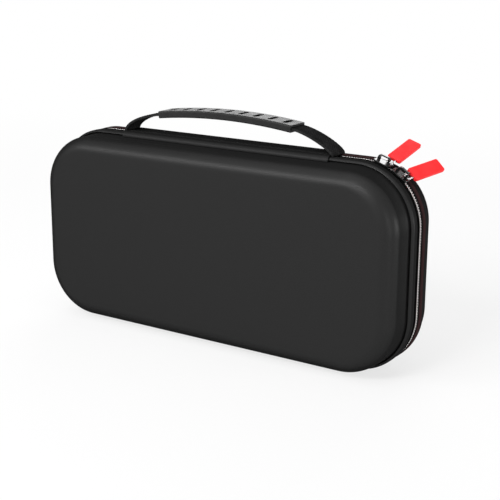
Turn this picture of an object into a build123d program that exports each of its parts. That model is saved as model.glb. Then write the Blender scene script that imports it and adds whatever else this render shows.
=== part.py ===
"""Zipped hard carrying case for a handheld game console, with a strap handle on its spine.

Frame: millimetres, +Z up, X along the width, the lid looks along -Y.
The case stands on its rim lips at z = 0. The deep lid and the shallower rear shell meet at the
parting plane, which lies a little behind y = 0, so that the case with its pulls is centred on y.
"""

import os
from math import cos, radians, sin

from build123d import *

# Outline of the rim, seen from the front
CASE_W = 264.0
CASE_H = 127.0
CORNER_R = 37.5
MID_Z = CASE_H / 2

# Cross-section of each shell, measured outwards from the parting plane
LID_DEPTH = 30.8
REAR_DEPTH = 24.0
RIM_HALF = 10.2
ZIP_HALF = 3.6
STEP = 2.7
WALL = 3.6
FACE_R = 9.5
LIP_OUTER_R = 2.2
LIP_INNER_R = 1.4
CAVITY_INSET = STEP + WALL
LID_CAVITY_END = LID_DEPTH - WALL
REAR_CAVITY_END = REAR_DEPTH - WALL
CAVITY_FLOOR_R = FACE_R - WALL
CAVITY_W = CASE_W - 2 * CAVITY_INSET
CAVITY_H = CASE_H - 2 * CAVITY_INSET
CAVITY_R = CORNER_R - CAVITY_INSET

# Hinge strip over both lips
STRIP_HALF_L = 76.3
STRIP_T = 0.8
LID_GAP = 0.3
STRIP_TOP_Z = CASE_H + LID_GAP + STRIP_T

# Zip: the tape sits in a slit of each lip, the coil lies on the tape
TAPE_INSET = 1.2
TAPE_T = 0.8
TAPE_IN = TAPE_INSET + TAPE_T
TAPE_DEPTH = 8.0
COIL_INSET = 0.3
COIL_W = 1.4
SEAM_HALF = 0.75
TAPE_END_X = STRIP_HALF_L - 1.5
COIL_END_X = STRIP_HALF_L + 3.5
STOP_L = 2.4
STOP_GAP = 0.15
STOP_W = 2.2

# Handle: strap from foot to foot, through the moulded grip
STRAP_W = 15.0
STRAP_T = 1.8
FOOT_X = STRIP_HALF_L + STRAP_T / 2
FOOT_Z = CASE_H + LID_GAP
GRIP_HALF_L = 49.0
GRIP_W = 16.5
GRIP_T = 4.6
GRIP_LIFT = 10.4
GRIP_RISE = 3.2
GRIP_END_Z = STRIP_TOP_Z + GRIP_LIFT + GRIP_T / 2
ARCH_TOP_Z = GRIP_END_Z + GRIP_RISE
GRIP_EDGE_R = 1.0
GRIP_SLOTS = 9
SLOT_PITCH = 10.6
SLOT_W = 3.4
SLOT_L = 10.0
SLOT_DEPTH = 0.9

# Sliders ride the upper right corner arc; angles are counted from the top
ARC_X = CASE_W / 2 - CORNER_R
ARC_Z = CASE_H - CORNER_R
SLIDER_UPPER_AT = 18.3
SLIDER_SPACING = 19.5
RUN_GAP = 0.3
SLIDER_L = 11.0
SLIDER_W = 7.8
SLIDER_TAIL_W = 5.8
SLIDER_CORNER_R = 1.9
PLATE_T = 1.1
POST_HALF = 0.35
POST_L = 5.0
FLANGE_IN = 2.5
FLANGE_OUT = ZIP_HALF - RUN_GAP
FLANGE_DROP = 1.1
UNDER_PLATE_TOP = 2.8
UNDER_PLATE_T = 1.1
UNDER_PLATE_L = 9.0

# Crown of the slider, with the holes for the wire loop
PLATE_TOP = RUN_GAP + PLATE_T
CROWN_L = 8.0
CROWN_W = 2.2
CROWN_TOP = 5.3
CROWN_R = 2.3
CROWN_EDGE_R = 0.35
WINDOW_L = 5.2
WINDOW_TOP = 4.5
PIVOT_UP = 2.4
WIRE_R = 0.5
PIN_HOLE_R = WIRE_R + RUN_GAP

# Pull: a wire loop round the lower post of the crown and a moulded tab, lying towards the rear
PULL_TILT = 18.0
UPPER_TAB_TURN = 1.5
LOWER_TAB_TURN = 10.4
LOOP_NEAR = 1.5
LOOP_FAR = CROWN_L / 2 + RUN_GAP + WIRE_R + 0.3
LOOP_LEG = 2.3
LOOP_END_HALF = 2.2
LOOP_BEND_R = 1.0
TAB_SHIFT = 3.8
TAB_START = 4.2
TAB_L = 23.5
TAB_W = 8.8
TAB_T = 2.4
TAB_CORNER_R = 1.2
TAB_EDGE_R = 0.5
LOOP_IN_TAB = 3.0

# Place of the parting plane: midway between the lid's face and the end of the upper tab
TAB_REACH = (TAB_START + TAB_L) * cos(radians(PULL_TILT)) + TAB_T / 2 * sin(radians(PULL_TILT))
PARTING_Y = (LID_DEPTH - TAB_REACH) / 2

# Console bed in the rear shell
BED_SIDE = 3.7
BED_BRIM = 5.2
RECESS_W = CAVITY_W - 2 * BED_SIDE
RECESS_H = CAVITY_H - 2 * BED_BRIM
RECESS_R = CAVITY_R - BED_SIDE
RECESS_DEPTH = 16.4
RECESS_FLOOR = 1.5
BED_TOP = REAR_CAVITY_END - RECESS_FLOOR - RECESS_DEPTH
BED_EDGE_R = CAVITY_FLOOR_R + 0.6
NOTCH_W = 44.0
NOTCH_DEPTH = 9.0

# Hold-down bands across the bed
BAND_X = 62.0
BAND_W = 22.0
BAND_T = 1.2
BAND_REST = 4.0

# Net pocket in the lid
NET_IN_LID = 20.6
NET_T = 1.0
NET_TOP_Z = 80.0
HEM_H = 6.0
HEM_T = 2.2

os.makedirs("parts", exist_ok=True)


def across(distance):
    """Plane at a distance from the parting plane: positive lies in the lid, negative to the rear."""
    return Plane.XZ.offset(distance - PARTING_Y)


def corner_plane(angle):
    """Plane on the rim at the corner arc: x along the zip, y to the rear, z outwards."""
    out_x = sin(radians(angle))
    out_z = cos(radians(angle))
    return Plane(
        origin=(ARC_X + CORNER_R * out_x, PARTING_Y, ARC_Z + CORNER_R * out_z),
        x_dir=(out_z, 0, -out_x),
        z_dir=(out_x, 0, out_z),
    )


# Outlines shared by several pieces, drawn flat with z as the second axis
with BuildSketch() as rim_outline:
    with Locations((0, MID_Z)):
        RectangleRounded(CASE_W, CASE_H, CORNER_R)

with BuildSketch() as panel_outline:
    with Locations((0, MID_Z)):
        RectangleRounded(CASE_W - 2 * STEP, CASE_H - 2 * STEP, CORNER_R - STEP)

with BuildSketch() as cavity_outline:
    with Locations((0, MID_Z)):
        RectangleRounded(CAVITY_W, CAVITY_H, CAVITY_R)

with BuildSketch() as tape_track:
    with Locations((0, MID_Z)):
        RectangleRounded(CASE_W - 2 * TAPE_INSET, CASE_H - 2 * TAPE_INSET, CORNER_R - TAPE_INSET)
        RectangleRounded(
            CASE_W - 2 * TAPE_IN, CASE_H - 2 * TAPE_IN, CORNER_R - TAPE_IN, mode=Mode.SUBTRACT
        )
    with Locations((0, CASE_H)):
        Rectangle(2 * TAPE_END_X, 2 * CORNER_R, mode=Mode.SUBTRACT)

with BuildSketch() as coil_track:
    with Locations((0, MID_Z)):
        RectangleRounded(CASE_W - 2 * COIL_INSET, CASE_H - 2 * COIL_INSET, CORNER_R - COIL_INSET)
        RectangleRounded(
            CASE_W - 2 * TAPE_INSET,
            CASE_H - 2 * TAPE_INSET,
            CORNER_R - TAPE_INSET,
            mode=Mode.SUBTRACT,
        )
    with Locations((0, CASE_H)):
        Rectangle(2 * COIL_END_X, 2 * CORNER_R, mode=Mode.SUBTRACT)

# Front shell: rim lip, raised panel, hollow inside, slit for the tape
with BuildPart() as front_shell:
    with BuildSketch(across(ZIP_HALF)):
        add(rim_outline.sketch)
    extrude(amount=RIM_HALF - ZIP_HALF)
    fillet(front_shell.faces().sort_by(Axis.Y)[0].edges(), LIP_OUTER_R)
    fillet(front_shell.faces().sort_by(Axis.Y)[-1].edges(), LIP_INNER_R)
    with BuildSketch(across((ZIP_HALF + RIM_HALF) / 2)):
        add(panel_outline.sketch)
    extrude(amount=LID_DEPTH - (ZIP_HALF + RIM_HALF) / 2)
    fillet(front_shell.faces().sort_by(Axis.Y)[0].edges(), FACE_R)
    with BuildSketch(across(ZIP_HALF)):
        add(cavity_outline.sketch)
    extrude(amount=LID_CAVITY_END - ZIP_HALF, mode=Mode.SUBTRACT)
    cavity_floor = front_shell.faces().filter_by(Plane.XZ).sort_by(Axis.Y)[1]
    fillet(cavity_floor.edges(), CAVITY_FLOOR_R)
    with BuildSketch(across(ZIP_HALF)):
        add(tape_track.sketch)
    extrude(amount=TAPE_DEPTH - ZIP_HALF, mode=Mode.SUBTRACT)
front_shell.part.label = "front_shell"
export_step(front_shell.part, "parts/front_shell.step")

# Rear shell: the same section turned to the rear, and shallower
with BuildPart() as rear_shell:
    with BuildSketch(across(-ZIP_HALF)):
        add(rim_outline.sketch)
    extrude(amount=ZIP_HALF - RIM_HALF)
    fillet(rear_shell.faces().sort_by(Axis.Y)[-1].edges(), LIP_OUTER_R)
    fillet(rear_shell.faces().sort_by(Axis.Y)[0].edges(), LIP_INNER_R)
    with BuildSketch(across(-(ZIP_HALF + RIM_HALF) / 2)):
        add(panel_outline.sketch)
    extrude(amount=(ZIP_HALF + RIM_HALF) / 2 - REAR_DEPTH)
    fillet(rear_shell.faces().sort_by(Axis.Y)[-1].edges(), FACE_R)
    with BuildSketch(across(-ZIP_HALF)):
        add(cavity_outline.sketch)
    extrude(amount=ZIP_HALF - REAR_CAVITY_END, mode=Mode.SUBTRACT)
    cavity_floor = rear_shell.faces().filter_by(Plane.XZ).sort_by(Axis.Y)[-2]
    fillet(cavity_floor.edges(), CAVITY_FLOOR_R)
    with BuildSketch(across(-ZIP_HALF)):
        add(tape_track.sketch)
    extrude(amount=ZIP_HALF - TAPE_DEPTH, mode=Mode.SUBTRACT)
rear_shell.part.label = "rear_shell"
export_step(rear_shell.part, "parts/rear_shell.step")

# Zip tapes and coils, one of each per shell
with BuildPart() as zip_tape_front:
    with BuildSketch(across(SEAM_HALF)):
        add(tape_track.sketch)
    extrude(amount=TAPE_DEPTH - SEAM_HALF)
zip_tape_front.part.label = "zip_tape_front"
export_step(zip_tape_front.part, "parts/zip_tape_front.step")

with BuildPart() as zip_tape_rear:
    mirror(zip_tape_front.part, about=across(0))
zip_tape_rear.part.label = "zip_tape_rear"
export_step(zip_tape_rear.part, "parts/zip_tape_rear.step")

with BuildPart() as zip_coil_front:
    with BuildSketch(across(SEAM_HALF)):
        add(coil_track.sketch)
    extrude(amount=COIL_W)
zip_coil_front.part.label = "zip_coil_front"
export_step(zip_coil_front.part, "parts/zip_coil_front.step")

with BuildPart() as zip_coil_rear:
    mirror(zip_coil_front.part, about=across(0))
zip_coil_rear.part.label = "zip_coil_rear"
export_step(zip_coil_rear.part, "parts/zip_coil_rear.step")

# Stops at both ends of the zip, clamped on the rear tape
STOP_H = TAPE_INSET - COIL_INSET
STOP_X = COIL_END_X - STOP_GAP - STOP_L / 2
with BuildPart() as zip_stop_right:
    with Locations((STOP_X, PARTING_Y + SEAM_HALF + STOP_W / 2, CASE_H - TAPE_INSET + STOP_H / 2)):
        Box(STOP_L, STOP_W, STOP_H)
    fillet(zip_stop_right.faces().sort_by(Axis.Z)[-1].edges(), 0.35)
zip_stop_right.part.label = "zip_stop_right"
export_step(zip_stop_right.part, "parts/zip_stop_right.step")

with BuildPart() as zip_stop_left:
    mirror(zip_stop_right.part, about=Plane.YZ)
zip_stop_left.part.label = "zip_stop_left"
export_step(zip_stop_left.part, "parts/zip_stop_left.step")

# Hinge strip: sewn flat on the rear lip, folded over the front lip and a little clear of it
STRIP_IN = RIM_HALF + LID_GAP
STRIP_OUT = STRIP_IN + STRIP_T
STRIP_FOOT_Z = CASE_H - STEP + LID_GAP
STRIP_BEND_Z = CASE_H - LIP_OUTER_R
LIP_FLAT = RIM_HALF - LIP_OUTER_R
BEND_IN_R = LIP_OUTER_R + LID_GAP
BEND_OUT_R = BEND_IN_R + STRIP_T
with BuildPart() as hinge_strip:
    with BuildSketch(Plane((-STRIP_HALF_L, PARTING_Y, 0), x_dir=(0, 1, 0), z_dir=(1, 0, 0))):
        with BuildLine():
            Line((-STRIP_OUT, STRIP_FOOT_Z), (-STRIP_OUT, STRIP_BEND_Z))
            CenterArc((-LIP_FLAT, STRIP_BEND_Z), BEND_OUT_R, 180, -90)
            Line((-LIP_FLAT, STRIP_TOP_Z), (LIP_FLAT, STRIP_TOP_Z))
            Line((LIP_FLAT, STRIP_TOP_Z), (LIP_FLAT, CASE_H))
            Line((LIP_FLAT, CASE_H), (ZIP_HALF + LIP_INNER_R, CASE_H))
            Line((ZIP_HALF + LIP_INNER_R, CASE_H), (ZIP_HALF + LIP_INNER_R, CASE_H + LID_GAP))
            Line((ZIP_HALF + LIP_INNER_R, CASE_H + LID_GAP), (-LIP_FLAT, CASE_H + LID_GAP))
            CenterArc((-LIP_FLAT, STRIP_BEND_Z), BEND_IN_R, 90, 90)
            Line((-STRIP_IN, STRIP_BEND_Z), (-STRIP_IN, STRIP_FOOT_Z))
            Line((-STRIP_IN, STRIP_FOOT_Z), (-STRIP_OUT, STRIP_FOOT_Z))
        make_face()
    extrude(amount=2 * STRIP_HALF_L)
hinge_strip.part.label = "hinge_strip"
export_step(hinge_strip.part, "parts/hinge_strip.step")

# Middle line of the handle: arch inside the grip, then down to each foot.
# The strap leaves the grip gently and comes down upright against the end of the strip.
FOOT_SPAN = FOOT_X - GRIP_HALF_L
FOOT_DROP = GRIP_END_Z - FOOT_Z
with BuildLine() as grip_line:
    ThreePointArc(
        (-GRIP_HALF_L, PARTING_Y, GRIP_END_Z),
        (0, PARTING_Y, ARCH_TOP_Z),
        (GRIP_HALF_L, PARTING_Y, GRIP_END_Z),
    )

with BuildLine() as foot_line:
    Spline(
        (GRIP_HALF_L, PARTING_Y, GRIP_END_Z),
        (GRIP_HALF_L + 0.415 * FOOT_SPAN, PARTING_Y, GRIP_END_Z - 0.22 * FOOT_DROP),
        (GRIP_HALF_L + 0.80 * FOOT_SPAN, PARTING_Y, GRIP_END_Z - 0.57 * FOOT_DROP),
        (FOOT_X, PARTING_Y, FOOT_Z),
        tangents=[grip_line.line % 1, (0, 0, -1)],
    )

with BuildPart() as handle_strap:
    with BuildSketch(Plane(grip_line.line @ 0, x_dir=(0, 1, 0), z_dir=grip_line.line % 0)):
        Rectangle(STRAP_W, STRAP_T)
    sweep(path=grip_line.line)
    with BuildSketch(Plane(foot_line.line @ 0, x_dir=(0, 1, 0), z_dir=foot_line.line % 0)):
        Rectangle(STRAP_W, STRAP_T)
    sweep(path=foot_line.line)
    mirror(about=Plane.YZ)
handle_strap.part.label = "handle_strap"
export_step(handle_strap.part, "parts/handle_strap.step")

# Grip: moulded round the strap, with cross slots on top
ARCH_R = (GRIP_HALF_L**2 + (ARCH_TOP_Z - GRIP_END_Z) ** 2) / (2 * (ARCH_TOP_Z - GRIP_END_Z))
ARCH_TURN = SLOT_PITCH / ARCH_R
SLOT_TURNS = [(n - (GRIP_SLOTS - 1) / 2) * ARCH_TURN for n in range(GRIP_SLOTS)]
SLOT_R = ARCH_R + GRIP_T / 2
with BuildPart() as handle_grip:
    with BuildSketch(Plane(grip_line.line @ 0, x_dir=(0, 1, 0), z_dir=grip_line.line % 0)):
        RectangleRounded(GRIP_W, GRIP_T, GRIP_EDGE_R)
    sweep(path=grip_line.line)
    with BuildSketch(Plane(grip_line.line @ 0, x_dir=(0, 1, 0), z_dir=grip_line.line % 0)):
        Rectangle(STRAP_W, STRAP_T)
    sweep(path=grip_line.line, mode=Mode.SUBTRACT)
    for turn in SLOT_TURNS:
        slot_plane = Plane(
            origin=(SLOT_R * sin(turn), PARTING_Y, ARCH_TOP_Z - ARCH_R + SLOT_R * cos(turn)),
            x_dir=(0, 1, 0),
            z_dir=(sin(turn), 0, cos(turn)),
        )
        with BuildSketch(slot_plane):
            SlotOverall(SLOT_L, SLOT_W)
        extrude(amount=-SLOT_DEPTH, mode=Mode.SUBTRACT)
handle_grip.part.label = "handle_grip"
export_step(handle_grip.part, "parts/handle_grip.step")

# Upper slider: top plate, post between the coils, rear flange, rear half of the under plate
upper = corner_plane(SLIDER_UPPER_AT)
outwards = Axis(upper.origin, upper.z_dir)


def is_crown_rim(edge):
    """Whether an edge of the upper slider runs round the outside of its crown."""
    spot = upper.to_local_coords(edge.center())
    outside = abs(spot.X) > WINDOW_L / 2 + 0.1 or spot.Z > WINDOW_TOP + 0.1
    return outside and spot.Z > PLATE_TOP + 0.1 and abs(spot.Y) > CROWN_W / 2 - 0.01


with BuildPart() as slider_upper:
    with BuildSketch(upper.offset(RUN_GAP)):
        with BuildLine():
            Polyline(
                (SLIDER_L / 2, SLIDER_W / 2),
                (SLIDER_L / 2, -SLIDER_W / 2),
                (0, -SLIDER_W / 2),
                (-SLIDER_L / 2, -SLIDER_TAIL_W / 2),
                (-SLIDER_L / 2, SLIDER_TAIL_W / 2),
                (0, SLIDER_W / 2),
                close=True,
            )
        make_face()
        fillet(vertices(), SLIDER_CORNER_R)
    extrude(amount=PLATE_T)
    chamfer(slider_upper.faces().sort_by(outwards)[-1].edges(), 0.3)
    with BuildSketch(upper.offset(-UNDER_PLATE_TOP - UNDER_PLATE_T)):
        Rectangle(POST_L, 2 * POST_HALF)
    extrude(amount=UNDER_PLATE_TOP + UNDER_PLATE_T + RUN_GAP)
    with BuildSketch(upper.offset(RUN_GAP - FLANGE_DROP)):
        with Locations((0, (FLANGE_IN + FLANGE_OUT) / 2)):
            Rectangle(UNDER_PLATE_L - 2, FLANGE_OUT - FLANGE_IN)
    extrude(amount=FLANGE_DROP)
    with BuildSketch(upper.offset(-UNDER_PLATE_TOP)):
        with Locations((0, (FLANGE_OUT - POST_HALF) / 2)):
            Rectangle(UNDER_PLATE_L, FLANGE_OUT + POST_HALF)
    extrude(amount=-UNDER_PLATE_T)
    crown_side = Plane(upper.origin, x_dir=upper.x_dir, z_dir=(0, -1, 0))
    with BuildSketch(crown_side.offset(-CROWN_W / 2)):
        with Locations((0, (PLATE_TOP + CROWN_TOP) / 2)):
            Rectangle(CROWN_L, CROWN_TOP - PLATE_TOP)
        fillet(
            [v for v in vertices() if v.Y > PIVOT_UP],
            CROWN_R,
        )
        with Locations((0, (PLATE_TOP + WINDOW_TOP) / 2)):
            Rectangle(WINDOW_L, WINDOW_TOP - PLATE_TOP, mode=Mode.SUBTRACT)
    extrude(amount=CROWN_W)
    crown_rim = slider_upper.edges().filter_by(is_crown_rim)
    fillet(crown_rim, CROWN_EDGE_R)
    pin_plane = Plane(
        upper.from_local_coords((-CROWN_L, 0, PIVOT_UP)), x_dir=(0, 1, 0), z_dir=upper.x_dir
    )
    with BuildSketch(pin_plane):
        Circle(PIN_HOLE_R)
    extrude(amount=2 * CROWN_L, mode=Mode.SUBTRACT)
slider_upper.part.label = "slider_upper"
export_step(slider_upper.part, "parts/slider_upper.step")

# Lower slider: the upper one mirrored, because the two sliders meet nose to nose
lower = corner_plane(SLIDER_UPPER_AT + SLIDER_SPACING)
meeting = corner_plane(SLIDER_UPPER_AT + SLIDER_SPACING / 2)
with BuildPart() as slider_lower:
    mirror(slider_upper.part, about=Plane(meeting.origin, x_dir=(0, 1, 0), z_dir=meeting.x_dir))
slider_lower.part.label = "slider_lower"
export_step(slider_lower.part, "parts/slider_lower.step")


def pull_plane(slider):
    """Plane of a pull: x along the zip, y from the pivot towards the tab."""
    normal = slider.z_dir * cos(radians(PULL_TILT)) - Vector(0, sin(radians(PULL_TILT)), 0)
    return Plane(slider.from_local_coords((0, 0, PIVOT_UP)), x_dir=slider.x_dir, z_dir=normal)


def in_tab(across_tab, along_tab, turn):
    """Point of the pull's plane, from a place in its tab, which is turned a little sideways."""
    swing = radians(turn)
    return (
        TAB_SHIFT + across_tab * cos(swing) + along_tab * sin(swing),
        TAB_START - across_tab * sin(swing) + along_tab * cos(swing),
    )


def loop_points(turn):
    """Corners of the wire loop: from the tab, round the lower post of the crown, back to the tab."""
    return [
        in_tab(-LOOP_END_HALF, LOOP_IN_TAB, turn),
        (LOOP_NEAR, LOOP_LEG),
        (LOOP_NEAR, 0),
        (LOOP_FAR, 0),
        (LOOP_FAR, LOOP_LEG),
        in_tab(LOOP_END_HALF, LOOP_IN_TAB, turn),
    ]


# Wire loops of the two pulls
upper_pull = pull_plane(upper)
lower_pull = pull_plane(lower)
with BuildLine(upper_pull) as upper_loop_line:
    FilletPolyline(*loop_points(UPPER_TAB_TURN), radius=LOOP_BEND_R)

with BuildPart() as pull_loop_upper:
    with BuildSketch(Plane(upper_loop_line.line @ 0, z_dir=upper_loop_line.line % 0)):
        Circle(WIRE_R)
    sweep(path=upper_loop_line.line)
pull_loop_upper.part.label = "pull_loop_upper"
export_step(pull_loop_upper.part, "parts/pull_loop_upper.step")

with BuildLine(lower_pull) as lower_loop_line:
    FilletPolyline(*loop_points(LOWER_TAB_TURN), radius=LOOP_BEND_R)

with BuildPart() as pull_loop_lower:
    with BuildSketch(Plane(lower_loop_line.line @ 0, z_dir=lower_loop_line.line % 0)):
        Circle(WIRE_R)
    sweep(path=lower_loop_line.line)
pull_loop_lower.part.label = "pull_loop_lower"
export_step(pull_loop_lower.part, "parts/pull_loop_lower.step")

# Tabs moulded over the ends of the loops
with BuildPart() as pull_tab_upper:
    with BuildSketch(upper_pull.offset(-TAB_T / 2)):
        with Locations(Location((*in_tab(0, TAB_L / 2, UPPER_TAB_TURN), 0), (0, 0, -UPPER_TAB_TURN))):
            RectangleRounded(TAB_W, TAB_L, TAB_CORNER_R)
    extrude(amount=TAB_T)
    upper_tab_faces = pull_tab_upper.faces().sort_by(Axis(upper_pull.origin, upper_pull.z_dir))
    fillet(upper_tab_faces[0].edges() + upper_tab_faces[-1].edges(), TAB_EDGE_R)
    add(pull_loop_upper.part, mode=Mode.SUBTRACT)
pull_tab_upper.part.label = "pull_tab_upper"
export_step(pull_tab_upper.part, "parts/pull_tab_upper.step")

with BuildPart() as pull_tab_lower:
    with BuildSketch(lower_pull.offset(-TAB_T / 2)):
        with Locations(Location((*in_tab(0, TAB_L / 2, LOWER_TAB_TURN), 0), (0, 0, -LOWER_TAB_TURN))):
            RectangleRounded(TAB_W, TAB_L, TAB_CORNER_R)
    extrude(amount=TAB_T)
    lower_tab_faces = pull_tab_lower.faces().sort_by(Axis(lower_pull.origin, lower_pull.z_dir))
    fillet(lower_tab_faces[0].edges() + lower_tab_faces[-1].edges(), TAB_EDGE_R)
    add(pull_loop_lower.part, mode=Mode.SUBTRACT)
pull_tab_lower.part.label = "pull_tab_lower"
export_step(pull_tab_lower.part, "parts/pull_tab_lower.step")

# Console bed: fills the rear shell behind the recess for the console
with BuildPart() as console_bed:
    with BuildSketch(across(-REAR_CAVITY_END)):
        add(cavity_outline.sketch)
    extrude(amount=REAR_CAVITY_END - BED_TOP)
    fillet(console_bed.faces().sort_by(Axis.Y)[-1].edges(), BED_EDGE_R)
    with BuildSketch(across(-BED_TOP)):
        with Locations((0, MID_Z)):
            RectangleRounded(RECESS_W, RECESS_H, RECESS_R)
    extrude(amount=-RECESS_DEPTH, mode=Mode.SUBTRACT)
    with BuildSketch(across(-BED_TOP)):
        with Locations((0, MID_Z)):
            Rectangle(NOTCH_W, CASE_H)
    extrude(amount=-NOTCH_DEPTH, mode=Mode.SUBTRACT)
console_bed.part.label = "console_bed"
export_step(console_bed.part, "parts/console_bed.step")

# Elastic bands over the recess, sewn to the upper and lower edge of the bed
BAND_L = RECESS_H + 2 * BAND_REST
with BuildPart() as hold_band_right:
    with Locations((BAND_X, PARTING_Y + BED_TOP - BAND_T / 2, MID_Z)):
        Box(BAND_W, BAND_T, BAND_L)
hold_band_right.part.label = "hold_band_right"
export_step(hold_band_right.part, "parts/hold_band_right.step")

with BuildPart() as hold_band_left:
    mirror(hold_band_right.part, about=Plane.YZ)
hold_band_left.part.label = "hold_band_left"
export_step(hold_band_left.part, "parts/hold_band_left.step")

# Net pocket in the lid, with its elastic hem
with BuildPart() as pocket_net:
    with BuildSketch(across(NET_IN_LID - NET_T)):
        add(cavity_outline.sketch)
        with Locations((0, NET_TOP_Z + CASE_H / 2)):
            Rectangle(CASE_W, CASE_H, mode=Mode.SUBTRACT)
    extrude(amount=NET_T)
pocket_net.part.label = "pocket_net"
export_step(pocket_net.part, "parts/pocket_net.step")

with BuildPart() as pocket_hem:
    with Locations((0, PARTING_Y - NET_IN_LID + NET_T / 2, NET_TOP_Z + HEM_H / 2)):
        Box(CAVITY_W, HEM_T, HEM_H)
    fillet(pocket_hem.edges().filter_by(Axis.X), 0.8)
pocket_hem.part.label = "pocket_hem"
export_step(pocket_hem.part, "parts/pocket_hem.step")
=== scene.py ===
"""Zipped carrying case for a handheld console: cloth shells, zip, sliders, pulls, handle and inside."""

from math import atan2, cos, pi, radians, sin

import bmesh
import bpy
from mathutils import Matrix, Vector
from mathutils.geometry import interpolate_bezier


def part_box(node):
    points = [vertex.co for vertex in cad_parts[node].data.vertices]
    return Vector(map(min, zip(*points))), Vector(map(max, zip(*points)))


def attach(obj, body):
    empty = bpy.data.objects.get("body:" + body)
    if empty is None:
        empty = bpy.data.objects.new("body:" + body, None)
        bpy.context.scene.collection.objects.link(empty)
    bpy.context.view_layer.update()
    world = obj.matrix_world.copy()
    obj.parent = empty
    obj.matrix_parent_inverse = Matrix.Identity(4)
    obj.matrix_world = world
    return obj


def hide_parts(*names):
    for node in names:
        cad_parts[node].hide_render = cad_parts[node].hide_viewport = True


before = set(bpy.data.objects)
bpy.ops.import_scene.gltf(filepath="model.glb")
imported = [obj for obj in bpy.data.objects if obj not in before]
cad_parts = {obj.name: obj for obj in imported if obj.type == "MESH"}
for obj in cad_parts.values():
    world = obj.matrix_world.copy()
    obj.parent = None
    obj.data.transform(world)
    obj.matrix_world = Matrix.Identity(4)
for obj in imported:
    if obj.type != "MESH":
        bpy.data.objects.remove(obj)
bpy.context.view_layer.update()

MM = 0.001
scene = bpy.context.scene

# Sizes read from the solids. Pieces are made about the parting plane and then moved to it
lid_low, lid_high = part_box("front_shell")
rear_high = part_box("rear_shell")[1]
tape_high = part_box("zip_tape_front")[1]
coil_low, coil_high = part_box("zip_coil_front")
strip_low, strip_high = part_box("hinge_strip")
strap_low, strap_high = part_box("handle_strap")
grip_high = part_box("handle_grip")[1]
bed_low, bed_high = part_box("console_bed")
net_low, net_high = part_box("pocket_net")
hem_low, hem_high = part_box("pocket_hem")
PARTING_Y = (tape_high.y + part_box("zip_tape_rear")[0].y) / 2
CASE_W = lid_high.x - lid_low.x
CASE_H = lid_high.z - lid_low.z
LID_DEPTH = PARTING_Y - lid_low.y
REAR_DEPTH = rear_high.y - PARTING_Y
ZIP_HALF = PARTING_Y - lid_high.y
TAPE_INSET = CASE_H - tape_high.z
SEAM_HALF = PARTING_Y - tape_high.y
COIL_INSET = CASE_H - coil_high.z
COIL_OUT = PARTING_Y - coil_low.y

# Shell section, as the solids have it
CORNER_R = 37.5 * MM
RIM_HALF = 10.2 * MM
STEP = 2.7 * MM
WALL = 3.6 * MM
FACE_R = 9.5 * MM
LIP_OUTER_R = 2.2 * MM
LIP_INNER_R = 1.4 * MM
CORNER_STEPS = 28

# Grip of the handle: an arched bar with a row of slots across its top
GRIP_HALF_L = 49.0 * MM
GRIP_T = 4.6 * MM
GRIP_RISE = 3.2 * MM
ARCH_TOP_Z = grip_high.z - GRIP_T / 2
ARCH_R = (GRIP_HALF_L**2 + GRIP_RISE**2) / (2 * GRIP_RISE)
SLOT_L = 10.0 * MM
SLOT_END = 3.5 * MM
# Depth below the grip's top face from which the slots get painted shade
SLOT_RIM = 0.12 * MM

# Places round the rim are counted from the middle of the top, clockwise as positive
ARC_X = CASE_W / 2 - CORNER_R
ARC_Z = CASE_H - CORNER_R
CORNER_RUN = pi * CORNER_R / 2
SIDE_RUN = CASE_H - 2 * CORNER_R
HALF_ROUND = 2 * ARC_X + 2 * CORNER_RUN + SIDE_RUN


def rim_place(along, inset):
    """Point (x, z) of the rim at that distance from the top middle, and the angle of its normal from up."""
    side = 1 if along >= 0 else -1
    run = abs(along)
    radius = CORNER_R - inset
    if run < ARC_X:
        x, z, turn = run, CASE_H - inset, 0
    elif run < ARC_X + CORNER_RUN:
        turn = (run - ARC_X) / CORNER_R
        x, z = ARC_X + radius * sin(turn), ARC_Z + radius * cos(turn)
    elif run < ARC_X + CORNER_RUN + SIDE_RUN:
        turn = pi / 2
        x, z = CASE_W / 2 - inset, ARC_Z - (run - ARC_X - CORNER_RUN)
    elif run < ARC_X + 2 * CORNER_RUN + SIDE_RUN:
        turn = pi / 2 + (run - ARC_X - CORNER_RUN - SIDE_RUN) / CORNER_R
        x, z = ARC_X + radius * sin(turn), CORNER_R + radius * cos(turn)
    else:
        turn = pi
        x, z = HALF_ROUND - run, inset
    return side * x, z, side * turn


def rim_distance(x, z):
    """Distance round the rim of the point nearest to (x, z): the inverse of rim_place."""
    side = 1 if x >= 0 else -1
    out = abs(x) - ARC_X
    if out <= 0:
        run = abs(x) if z > CASE_H / 2 else HALF_ROUND - abs(x)
    elif z > ARC_Z:
        run = ARC_X + CORNER_R * atan2(out, z - ARC_Z)
    elif z < CORNER_R:
        run = HALF_ROUND - ARC_X - CORNER_R * atan2(out, CORNER_R - z)
    else:
        run = ARC_X + CORNER_RUN + ARC_Z - z
    return side * run


# Shader groups shared by several finishes


def new_group(name, inputs, outputs):
    """Empty shader group with named sockets: inputs as (name, kind, default)."""
    group = bpy.data.node_groups.new(name, "ShaderNodeTree")
    for label, kind, default in inputs:
        socket = group.interface.new_socket(label, in_out="INPUT", socket_type=kind)
        if default is not None:
            socket.default_value = default
    for label, kind in outputs:
        group.interface.new_socket(label, in_out="OUTPUT", socket_type=kind)
    return group, group.nodes.new("NodeGroupInput"), group.nodes.new("NodeGroupOutput")


def math_node(tree, operation, *values):
    """Math node fed by sockets or numbers; returns its output."""
    node = tree.nodes.new("ShaderNodeMath")
    node.operation = operation
    for k, value in enumerate(values):
        if isinstance(value, (int, float)):
            node.inputs[k].default_value = value
        else:
            tree.links.new(value, node.inputs[k])
    return node.outputs[0]


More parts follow.
